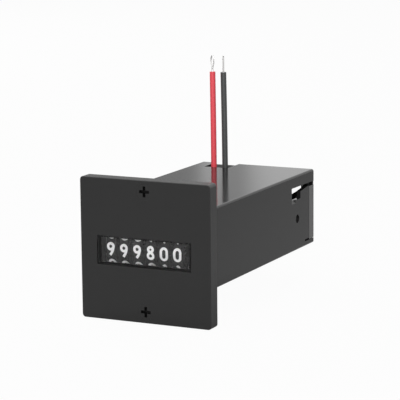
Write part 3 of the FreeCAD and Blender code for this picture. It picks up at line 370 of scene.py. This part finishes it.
def moulded_plastic():
    """Fine spark-eroded grain of a moulding, with faint cloudy change of shade and gloss."""
    tree, ins, outs = group("Moulded plastic", [
        ("Color", "Color", (0.02, 0.02, 0.02, 1)), ("Grain size", "Float", 9000),
        ("Grain depth", "Float", 0.1), ("Roughness", "Float", 0.4),
        ("Shade change", "Float", 0.1)])
    place = node(tree, "ShaderNodeTexCoord", (-900, -300)).outputs["Object"]
    cloud = node(tree, "ShaderNodeTexNoise", (-650, 200), Vector=place, Scale=160, Detail=3)
    grain = node(tree, "ShaderNodeTexNoise", (-650, -300), Vector=place,
                 Scale=ins["Grain size"], Detail=2)
    return finish_group(tree, ins, outs, cloud.outputs["Fac"], grain.outputs["Fac"],
                        ins["Grain depth"], shades=(ins["Shade change"], 0.95),
                        dulling=0.08, distance=0.00002)


def worked_metal():
    """Brushed or drawn metal: fine lines along one axis and a slow change of shade."""
    tree, ins, outs = group("Worked metal", [
        ("Color", "Color", (0.6, 0.6, 0.6, 1)), ("Lines", "Vector", (300, 6000, 6000)),
        ("Depth", "Float", 0.15), ("Roughness", "Float", 0.3)])
    place = node(tree, "ShaderNodeTexCoord", (-900, -300)).outputs["Object"]
    stretch = node(tree, "ShaderNodeVectorMath", (-700, -300), place, ins["Lines"],
                   operation="MULTIPLY")
    lines = node(tree, "ShaderNodeTexNoise", (-480, -300), Vector=stretch.outputs[0], Scale=1,
                 Detail=2)
    cloud = node(tree, "ShaderNodeTexNoise", (-480, 100), Vector=place, Scale=250, Detail=3)
    return finish_group(tree, ins, outs, cloud.outputs["Fac"], lines.outputs["Fac"],
                        ins["Depth"], shades=(0.25, 0.86), dulling=0.15, distance=0.00001)


def plain_material(name, constants):
    """A material with one Principled shader, its constants set on the shader's own sockets."""
    material = bpy.data.materials.new(name)
    tree, out = blank_tree(material, "ShaderNodeOutputMaterial")
    shader = node(tree, "ShaderNodeBsdfPrincipled", (100, 0), **constants)
    tree.links.new(shader.outputs["BSDF"], out.inputs["Surface"])
    return tree, shader


def grouped_material(name, effect, settings, constants):
    """A material whose colour, roughness and normal come from an effect placed in it."""
    tree, shader = plain_material(name, constants)
    part = node(tree, "ShaderNodeGroup", (-250, 0), node_tree=effect)
    for title, value in settings.items():
        part.inputs[title].default_value = value
    for title, socket in (("Color", "Base Color"), ("Roughness", "Roughness"),
                          ("Normal", "Normal")):
        tree.links.new(part.outputs[title], shader.inputs[socket])


def finish_materials(tones):
    """Makes every material of the counter."""
    plastic, metal = moulded_plastic(), worked_metal()
    for name, (color, size, depth, rough, change, constants) in PLASTICS.items():
        color = getattr(tones, color) if isinstance(color, str) else color
        settings = {"Color": (*color, 1), "Grain size": size, "Grain depth": depth,
                    "Roughness": rough, "Shade change": change}
        grouped_material(name, plastic, settings, constants)
    for name, (color, lines, depth, rough, constants) in METALS.items():
        settings = {"Color": (*color, 1), "Lines": lines, "Depth": depth, "Roughness": rough}
        grouped_material(name, metal, settings, constants)
    plain_material("Clear window", CLEAR)


class COUNTER_OT_finishes(bpy.types.Operator):
    """Give every piece of the counter its own finish"""
    bl_idname = "counter.finishes"
    bl_label = "Finishes"

    def execute(self, context):
        finish_materials(context.scene.counter_finish)
        for finish, pieces in DRESSED.items():
            for name in pieces:
                mesh = NODES[name].data
                mesh.materials.clear()
                mesh.materials.append(bpy.data.materials[finish])
        return {"FINISHED"}


# Changed copies of CAD pieces

def new_object(name, data):
    """An object in the scene for a mesh, curve, light or camera."""
    item = bpy.data.objects.new(name, data)
    bpy.context.scene.collection.objects.link(item)
    return item


def mesh_object(name, shape, material):
    """An object from an edited shape, which is used up."""
    mesh = bpy.data.meshes.new(name)
    shape.to_mesh(mesh)
    shape.free()
    mesh.materials.append(material)
    return new_object(name, mesh)


def smooth_line(name, points, diameter, material, along=12, around=6):
    """A round piece along a smooth line through control points, in metres."""
    data = bpy.data.curves.new(name, "CURVE")
    data.dimensions = "3D"
    data.bevel_depth = diameter / 2
    data.bevel_resolution = around
    data.use_fill_caps = True
    data.resolution_u = along
    spline = data.splines.new("NURBS")
    spline.points.add(len(points) - 1)
    for point, place in zip(spline.points, points):
        point.co = (*place, 1)
    spline.order_u = 3
    spline.use_endpoint_u = True
    data.materials.append(material)
    return new_object(name, data)


def changed_copy(name, node_name):
    """A new object with an editable copy of a CAD node's mesh."""
    mesh = NODES[node_name].data.copy()
    mesh.name = name
    mesh.materials.clear()
    shape = bmesh.new()
    shape.from_mesh(mesh)
    return new_object(name, mesh), shape


def settle(item, shape, node_name, *materials):
    """Writes the changed mesh back and lets the object take the node's place."""
    shape.to_mesh(item.data)
    shape.free()
    for material in materials:
        item.data.materials.append(material)
    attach(item, "case")
    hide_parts(node_name)


def prism(shape, corners, start, end):
    """Adds a solid of constant section between two places along Y."""
    front = [shape.verts.new((x, start, z)) for x, z in corners]
    back = [shape.verts.new((x, end, z)) for x, z in corners]
    faces = [shape.faces.new(front), shape.faces.new(back[::-1])]
    for k in range(len(corners)):
        n = (k + 1) % len(corners)
        faces.append(shape.faces.new((front[n], front[k], back[k], back[n])))
    bmesh.ops.recalc_face_normals(shape, faces=faces)


def coil(name, middle, radius, ends, pitch, wire, material):
    """A round wire wound about a line along Y through a point."""
    start, length = ends[0], ends[1] - ends[0]
    steps = round(length / pitch * COIL_STEPS)
    points = []
    for k in range(steps + 1):
        turn = k * math.pi / (COIL_STEPS / 2)
        points.append((middle.x + radius * math.cos(turn), start + length * k / steps,
                       middle.z + radius * math.sin(turn)))
    return smooth_line(name, points, wire, material, along=2, around=2)


def lathe(name, middle, profile, material):
    """A closed ring-shaped solid: a profile of radius and place, turned about a line along Y."""
    shape = bmesh.new()
    rings = []
    for radius, place in profile:
        ring = []
        for k in range(RING_SIDES):
            turn = 2 * math.pi * k / RING_SIDES
            ring.append(shape.verts.new((middle.x + radius * math.cos(turn), place,
                                         middle.z + radius * math.sin(turn))))
        rings.append(ring)
    for here, there in zip(rings, rings[1:] + rings[:1]):
        for k in range(RING_SIDES):
            n = (k + 1) % RING_SIDES
            shape.faces.new((here[k], here[n], there[n], there[k]))
    bmesh.ops.recalc_face_normals(shape, faces=shape.faces)
    return mesh_object(name, shape, material)


class COUNTER_OT_details(bpy.types.Operator):
    """Finish window, screws, spring, winding and rear cover in more detail than the CAD has"""
    bl_idname = "counter.details"
    bl_label = "Details"

    def execute(self, context):
        sizes = context.scene.counter_details
        finish = bpy.data.materials
        self.window(sizes, finish["Clear window"])
        for side in ("upper", "lower"):
            self.screw(sizes, side, finish["Front plate plastic"], finish["Dark recess"])
        self.spring(sizes, finish["Ground steel"])
        self.winding(sizes, finish["Enamelled wire"])
        self.cover(finish["Housing plastic"], finish["Rear cover plastic"], finish["Dark recess"])
        return {"FINISHED"}

    def window(self, sizes, clear):
        """The lens pressed up to the opening's edges and nearly to the plate's face."""
        item, shape = changed_copy("clear_window", "window_lens")
        low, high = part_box("window_lens")
        middle = (Vector(low) + Vector(high)) / 2
        for point in shape.verts:
            for axis in (0, 2):
                side = 1 if point.co[axis] > middle[axis] else -1
                point.co[axis] += side * sizes.window_fill
            if point.co.y < middle.y:
                point.co.y -= sizes.window_rise
        settle(item, shape, "window_lens", clear)

    def screw(self, sizes, side, skin, recess):
        """The screw's head filling its hole, with painted shade in its cross recess and a dark
        threaded shank.
        """
        item, shape = changed_copy(f"{side}_screw", f"{side}_plate_screw")
        low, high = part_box(f"{side}_plate_screw")
        centre_x = (low[0] + high[0]) / 2
        centre_z = (low[2] + high[2]) / 2
        face = low[1]
        for point in shape.verts:
            x, z = point.co.x - centre_x, point.co.z - centre_z
            reach = math.hypot(x, z)
            if reach > HEAD_RIM and point.co.y < HEAD_BACK - NEAR:
                stretch = (reach + sizes.head_fill) / reach
                point.co.x, point.co.z = centre_x + x * stretch, centre_z + z * stretch
            if point.co.y < face + CLOSE:
                point.co.y -= sizes.head_rise
            if abs(reach - SHANK_RADIUS) < NEAR and point.co.y > -NEAR:
                ease = (SHANK_RADIUS - sizes.thread * THREAD_SUNK) / reach
                point.co.x, point.co.z = centre_x + x * ease, centre_z + z * ease
        # Faces inside the cross recess are painted near-black as painted shade; the shank behind
        # the head takes the same dark colour
        for part in shape.faces:
            middle = part.calc_center_median()
            reach = math.hypot(middle.x - centre_x, middle.z - centre_z)
            inside = reach < RECESS_REACH and face + RECESS_TOP < middle.y < RECESS_FOOT
            part.material_index = 1 if inside or middle.y > HEAD_BACK else 0
        settle(item, shape, f"{side}_plate_screw", skin, recess)
        shank = Vector((centre_x, 0, centre_z))
        radius = SHANK_RADIUS - sizes.thread / 2
        thread = coil(f"{side}_screw_thread", shank, radius, (THREAD_GAP, high[1] - THREAD_GAP),
                      sizes.thread * THREAD_PITCH, sizes.thread, recess)
        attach(thread, "case")

    def spring(self, sizes, metal):
        """A round wire coil in the place of the CAD's square one."""
        low, high = (Vector(corner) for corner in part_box("return_spring"))
        middle = (low + high) / 2
        radius = (high.x - low.x) / 2 - sizes.spring_wire / 2
        room = sizes.spring_wire * SPRING_END_ROOM
        item = coil("return_coil", middle, radius, (low.y + room, high.y - room),
                    sizes.spring_pitch, sizes.spring_wire, metal)
        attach(item, "case")
        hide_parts("return_spring")

    def winding(self, sizes, copper):
        """The winding with its outer layer of turns."""
        low, high = (Vector(corner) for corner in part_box("coil_winding"))
        middle = (low + high) / 2
        outer, length = (high.z - low.z) / 2, high.y - low.y
        steps = round(length / sizes.turn_pitch) * 4
        inner = min(math.hypot(p.co.x - middle.x, p.co.z - middle.z)
                    for p in NODES["coil_winding"].data.vertices)
        profile = [(inner, low.y)]
        for k in range(steps + 1):
            dip = sizes.turn_pitch * TURN_DIP * (0.5 + 0.5 * math.cos(k * math.pi / 2))
            profile.append((outer - dip, low.y + length * k / steps))
        profile.append((inner, high.y))
        item = lathe("coil_turns", middle, profile, copper)
        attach(item, "case")
        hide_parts("coil_winding")

    def cover(self, skin, tongue, dark):
        """Gives the openings behind the latch windows a slanted lower edge, and each slit a lip;
        paints a highlight on the tongues and shade on the pegs.
        """
        item, shape = changed_copy("moulded_rear_cover", "rear_cover")
        bottom, top = OPENING_HEIGHTS
        for point in shape.verts:
            if abs(abs(point.co.x) - OPENING_END) < SAME and bottom < point.co.z < top:
                point.co.x = math.copysign(OPENING_END_SHOWN, point.co.x)
        # The tongue's outer faces take the lighter plastic, a painted highlight; the peg's faces
        # take near-black, painted shade
        for part in shape.faces:
            inner = min(abs(point.co.x) for point in part.verts)
            if inner > TONGUE_FACE:
                part.material_index = 1
            elif inner > PEG_FACE and max(point.co.y for point in part.verts) < PEG_BACK:
                part.material_index = 2
        for side in (1, -1):
            prism(shape, [(side * x, z) for x, z in SLANT], SLANT_FRONT, COVER_REAR)
            prism(shape, [(side * x, z) for x, z in SLIT_LIP], SLIT_LIP_FRONT, COVER_REAR)
        settle(item, shape, "rear_cover", skin, tongue, dark)


# Leads

class COUNTER_OT_leads(bpy.types.Operator):
    """Lay the red and the black lead, with their bare ends of tinned wires"""
    bl_idname = "counter.leads"
    bl_label = "Leads"

    def execute(self, context):
        sizes = context.scene.counter_leads
        finish = bpy.data.materials
        for colour, route in (("red", RED_ROUTE), ("black", BLACK_ROUTE)):
            insulation = finish[f"{colour.capitalize()} insulation"]
            lead = smooth_line(f"{colour}_wire", route, sizes.diameter, insulation)
            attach(lead, "case")
            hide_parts(f"{colour}_lead")
            strands = self.strands(colour, Vector(route[-1]), sizes, finish["Tinned copper"])
        return {"FINISHED"}

    def strands(self, colour, top, sizes, metal):
        """The bare wires: an open eye on the red lead, a straight bunch on the black one."""
        made = []
        for k in range(STRANDS):
            turn = 2 * math.pi * k / STRANDS + STRAND_TURN
            around = (STRAND_SPREAD * math.cos(turn), STRAND_SPREAD * math.sin(turn))
            if colour == "red":
                side = -1 if k % 2 else 1
                out = (side * (EYE_BOW + EYE_BOW_STEP * k), EYE_DEPTH * math.sin(turn))
                course = EYE_COURSE
            else:
                out, course = around, BUNCH_COURSE
            places = [top + Vector((*around, -STRAND_TUCK))]
            for height, wide in course:
                places.append(top + Vector((out[0] * wide, out[1] * wide, sizes.bare * height)))
            wire = smooth_line(f"{colour}_strand_{k + 1}", places, sizes.strand, metal)
            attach(wire, "case")
            made.append(wire)
        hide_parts(f"{colour}_strands")
        return made


# Figures on the wheels

def rounded(points, closed, steps=3):
    """A line with its corners eased by repeated corner cutting."""
    line = [Vector(point) for point in points]
    for _ in range(steps):
        eased = [] if closed else [line[0]]
        for here, there in zip(line, line[1:]):
            eased += [here.lerp(there, 0.25), here.lerp(there, 0.75)]
        eased.append(eased[0] if closed else line[-1])
        line = eased
    return line


def stroke_outline(line, closed, half):
    """Left and right edges of a stroke of constant width along a line, with mitred corners."""
    if closed:
        line = line[:-1]
    count = len(line)
    left, right = [], []
    for k, point in enumerate(line):
        before = line[k - 1] if (k > 0 or closed) else None
        after = line[(k + 1) % count] if (k < count - 1 or closed) else None
        one = (point - before).normalized() if before is not None else None
        two = (after - point).normalized() if after is not None else None
        along = (one or two) if (one is None or two is None) else (one + two).normalized()
        across = Vector((-along.y, along.x))
        stretch = 1.0
        if one is not None and two is not None:
            stretch = 1 / max(MITRE_LIMIT, across.dot(Vector((-one.y, one.x))))
        left.append(point + across * half * stretch)
        right.append(point - across * half * stretch)
    return left, right


class COUNTER_OT_figures(bpy.types.Operator):
    """Print the ten figures round each number wheel, so that the reading stands in the window"""
    bl_idname = "counter.figures"
    bl_label = "Figures"

    def execute(self, context):
        sizes = context.scene.counter_figures
        for k, shown in enumerate(f"{sizes.reading:06d}"):
            joint = next(j for j in frame["joints"] if j["child"] == f"wheel_{k + 1}")
            centre = Vector(joint["pos_m"])
            shape = bmesh.new()
            for figure, strokes in FIGURES.items():
                step = int(figure) - int(shown)
                angle = -math.radians(sizes.play[k]) - step * math.pi / 5
                for stroke in strokes:
                    self.add_stroke(shape, stroke, centre, angle, sizes)
            bmesh.ops.recalc_face_normals(shape, faces=shape.faces)
            item = mesh_object(f"wheel_figures_{k + 1}", shape, bpy.data.materials["Figure print"])
            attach(item, f"wheel_{k + 1}")
        return {"FINISHED"}

    def add_stroke(self, shape, stroke, centre, angle, sizes):
        """One closed stroke wrapped on the wheel's rim, standing just proud of it."""
        radius = RIM_RADIUS + PRINT_LIFT
        wide, tall = sizes.width / FIELD_WIDTH, sizes.height / FIELD_HEIGHT
        closed = stroke[0] == stroke[-1]
        line = rounded([(x * wide, y * tall) for x, y in stroke], closed)
        edges = stroke_outline(line, closed, sizes.stroke / 2)

        def wrapped(place, lift):
            turn = place.y / radius + angle
            reach = radius + lift
            return centre + Vector((place.x, -reach * math.cos(turn), reach * math.sin(turn)))

        top = [[shape.verts.new(wrapped(p, 0)) for p in edge] for edge in edges]
        foot = [[shape.verts.new(wrapped(p, -PRINT_DEPTH)) for p in edge] for edge in edges]
        count = len(edges[0])
        for i in range(count if closed else count - 1):
            j = (i + 1) % count
            shape.faces.new((top[0][i], top[0][j], top[1][j], top[1][i]))
            shape.faces.new((top[0][j], top[0][i], foot[0][i], foot[0][j]))
            shape.faces.new((top[1][i], top[1][j], foot[1][j], foot[1][i]))
            shape.faces.new((foot[0][j], foot[0][i], foot[1][i], foot[1][j]))
        if not closed:
            for i in (0, count - 1):
                shape.faces.new((top[0][i], top[1][i], foot[1][i], foot[0][i]))


# Stage

def background_share(tree, *shares):
    """How far a surface shows itself as white: to the camera, to clear pieces and to gloss."""
    ray = node(tree, "ShaderNodeLightPath", (-400, 400))
    parts = []
    for k, (kind, share) in enumerate(zip(("Camera", "Transmission", "Glossy"), shares)):
        part = node(tree, "ShaderNodeMath", (-200, 500 - 160 * k),
                    ray.outputs[f"Is {kind} Ray"], share, operation="MULTIPLY")
        parts.append(part.outputs[0])
    total = parts[0]
    for k, part in enumerate(parts[1:], 1):
        total = node(tree, "ShaderNodeMath", (160 * k - 100, 400), total, part,
                     operation="MAXIMUM").outputs[0]
    return total


class COUNTER_OT_stage(bpy.types.Operator):
    """Set the floor, the lights, the room and the camera"""
    bl_idname = "counter.stage"
    bl_label = "Stage"

    def execute(self, context):
        scene = context.scene
        sizes = scene.counter_stage
        scene.view_settings.view_transform = "Standard"
        self.floor(sizes)
        self.room(scene, sizes)
        self.lights(sizes)
        self.camera(scene, sizes)
        return {"FINISHED"}

    def floor(self, sizes):
        """A wide pale floor, white to the camera but for the counter's shadow."""
        mesh = bpy.data.meshes.new("floor")
        corners = [(FLOOR_REACH * x, FLOOR_REACH * y, sizes.floor_level)
                   for x, y in ((-1, -1), (1, -1), (1, 1), (-1, 1))]
        mesh.from_pydata(corners, [], [(0, 1, 2, 3)])
        item = new_object("floor", mesh)
        material = bpy.data.materials.new("Pale floor")
        tree, out = blank_tree(material, "ShaderNodeOutputMaterial")
        lit = node(tree, "ShaderNodeBsdfDiffuse", (0, 0), Color=FLOOR_COLOR)
        white = node(tree, "ShaderNodeEmission", (0, -200), Strength=1.0)
        share = background_share(tree, FLOOR_TO_CAMERA, FLOOR_TO_CLEAR, sizes.floor_gloss)
        pick = node(tree, "ShaderNodeMixShader", (500, 0), share, lit.outputs[0], white.outputs[0])
        tree.links.new(pick.outputs[0], out.inputs["Surface"])
        mesh.materials.append(material)

    def room(self, scene, sizes):
        """Even light from all round. Camera and clear pieces see white, gloss sees the panels."""
        scene.world = bpy.data.worlds.new("Studio")
        tree, out = blank_tree(scene.world, "ShaderNodeOutputWorld")
        soft = node(tree, "ShaderNodeBackground", (0, 0), Color=WHITE,
                    Strength=sizes.world_strength)
        white = node(tree, "ShaderNodeBackground", (0, -200), Color=WHITE, Strength=1.0)
        wall = node(tree, "ShaderNodeBackground", (0, -400), Color=self.wall(tree, sizes))
        ray = node(tree, "ShaderNodeLightPath", (0, 400))
        seen = node(tree, "ShaderNodeMixShader", (300, -200), ray.outputs["Is Glossy Ray"],
                    white.outputs[0], wall.outputs[0])
        share = background_share(tree, 1.0, 1.0, 1.0)
        pick = node(tree, "ShaderNodeMixShader", (500, 0), share, soft.outputs[0],
                    seen.outputs[0])
        tree.links.new(pick.outputs[0], out.inputs["Surface"])

    def wall(self, tree, sizes):
        """Upright grey and white panels on the room's rear wall, by direction."""
        place = node(tree, "ShaderNodeTexCoord", (-900, -400))
        parts = node(tree, "ShaderNodeSeparateXYZ", (-700, -400), place.outputs["Generated"])
        turn = node(tree, "ShaderNodeMath", (-500, -400), parts.outputs["X"],
                    parts.outputs["Y"], operation="ARCTAN2")
        across = node(tree, "ShaderNodeMapRange", (-400, -400), turn.outputs[0],
                      sizes.wall_turn, sizes.wall_turn + WALL_SPAN)
        panels = node(tree, "ShaderNodeValToRGB", (-250, -400), across.outputs["Result"])
        steps = panels.color_ramp.elements
        for share, _ in WALL_PANELS[1:-1]:
            steps.new(share)
        for step, (share, shade) in zip(steps, WALL_PANELS):
            step.position = share
            step.color = (shade, shade, shade, 1)
        return panels.outputs["Color"]

    def lights(self, sizes):
        """The three soft square lights."""
        for name, (place, aim, size, setting) in LIGHTS.items():
            data = bpy.data.lights.new(name, "AREA")
            data.shape = "SQUARE"
            data.size = size
            data.energy = getattr(sizes, setting)
            item = new_object(name, data)
            item.location = place
            toward = Vector(aim) - Vector(place)
            item.rotation_euler = toward.to_track_quat("-Z", "Y").to_euler()

    def camera(self, scene, sizes):
        """The camera at the photograph's viewing angle."""
        data = bpy.data.cameras.new("Camera")
        data.lens = sizes.lens
        data.sensor_width = SENSOR_WIDTH
        data.clip_start = NEAREST_SEEN
        forward = Vector(CAMERA_FORWARD).normalized()
        right = forward.cross(Vector(CAMERA_UP)).normalized()
        up = right.cross(forward)
        turn = Matrix((right, up, -forward)).transposed().to_4x4()
        item = new_object("Camera", data)
        item.matrix_world = Matrix.Translation(CAMERA_PLACE) @ turn
        scene.camera = item


class COUNTER_PT_panel(bpy.types.Panel):
    """Steps and settings of the panel counter"""
    bl_idname = "COUNTER_PT_panel"
    bl_label = "Panel counter"
    bl_space_type = "VIEW_3D"
    bl_region_type = "UI"
    bl_category = "Counter"

    def draw(self, context):
        layout = self.layout
        for operator in (COUNTER_OT_finishes, COUNTER_OT_details, COUNTER_OT_leads,
                         COUNTER_OT_figures, COUNTER_OT_stage):
            layout.operator(operator.bl_idname)
        for name in SETTINGS:
            settings = getattr(context.scene, name)
            box = layout.box()
            for key in settings.bl_rna.properties.keys():
                if key not in ("rna_type", "name"):
                    box.prop(settings, key)


CLASSES = (FinishSettings, DetailSettings, FigureSettings, LeadSettings, StageSettings,
           COUNTER_OT_finishes, COUNTER_OT_details, COUNTER_OT_leads, COUNTER_OT_figures,
           COUNTER_OT_stage, COUNTER_PT_panel)
SETTINGS = {"counter_finish": FinishSettings, "counter_details": DetailSettings,
            "counter_leads": LeadSettings, "counter_figures": FigureSettings,
            "counter_stage": StageSettings}


def register():
    for item in CLASSES:
        bpy.utils.register_class(item)
    for name, kind in SETTINGS.items():
        setattr(bpy.types.Scene, name, PointerProperty(type=kind))


def unregister():
    for name in SETTINGS:
        delattr(bpy.types.Scene, name)
    for item in reversed(CLASSES):
        bpy.utils.unregister_class(item)


def corners(box):
    """A box as plain lists of numbers."""
    return [[float(v) for v in corner] for corner in box]


def main():
    register()
    bpy.ops.counter.finishes()
    bpy.ops.counter.details()
    bpy.ops.counter.leads()
    bpy.ops.counter.figures()
    bpy.ops.counter.stage()


if __name__ == "__main__":
    main()
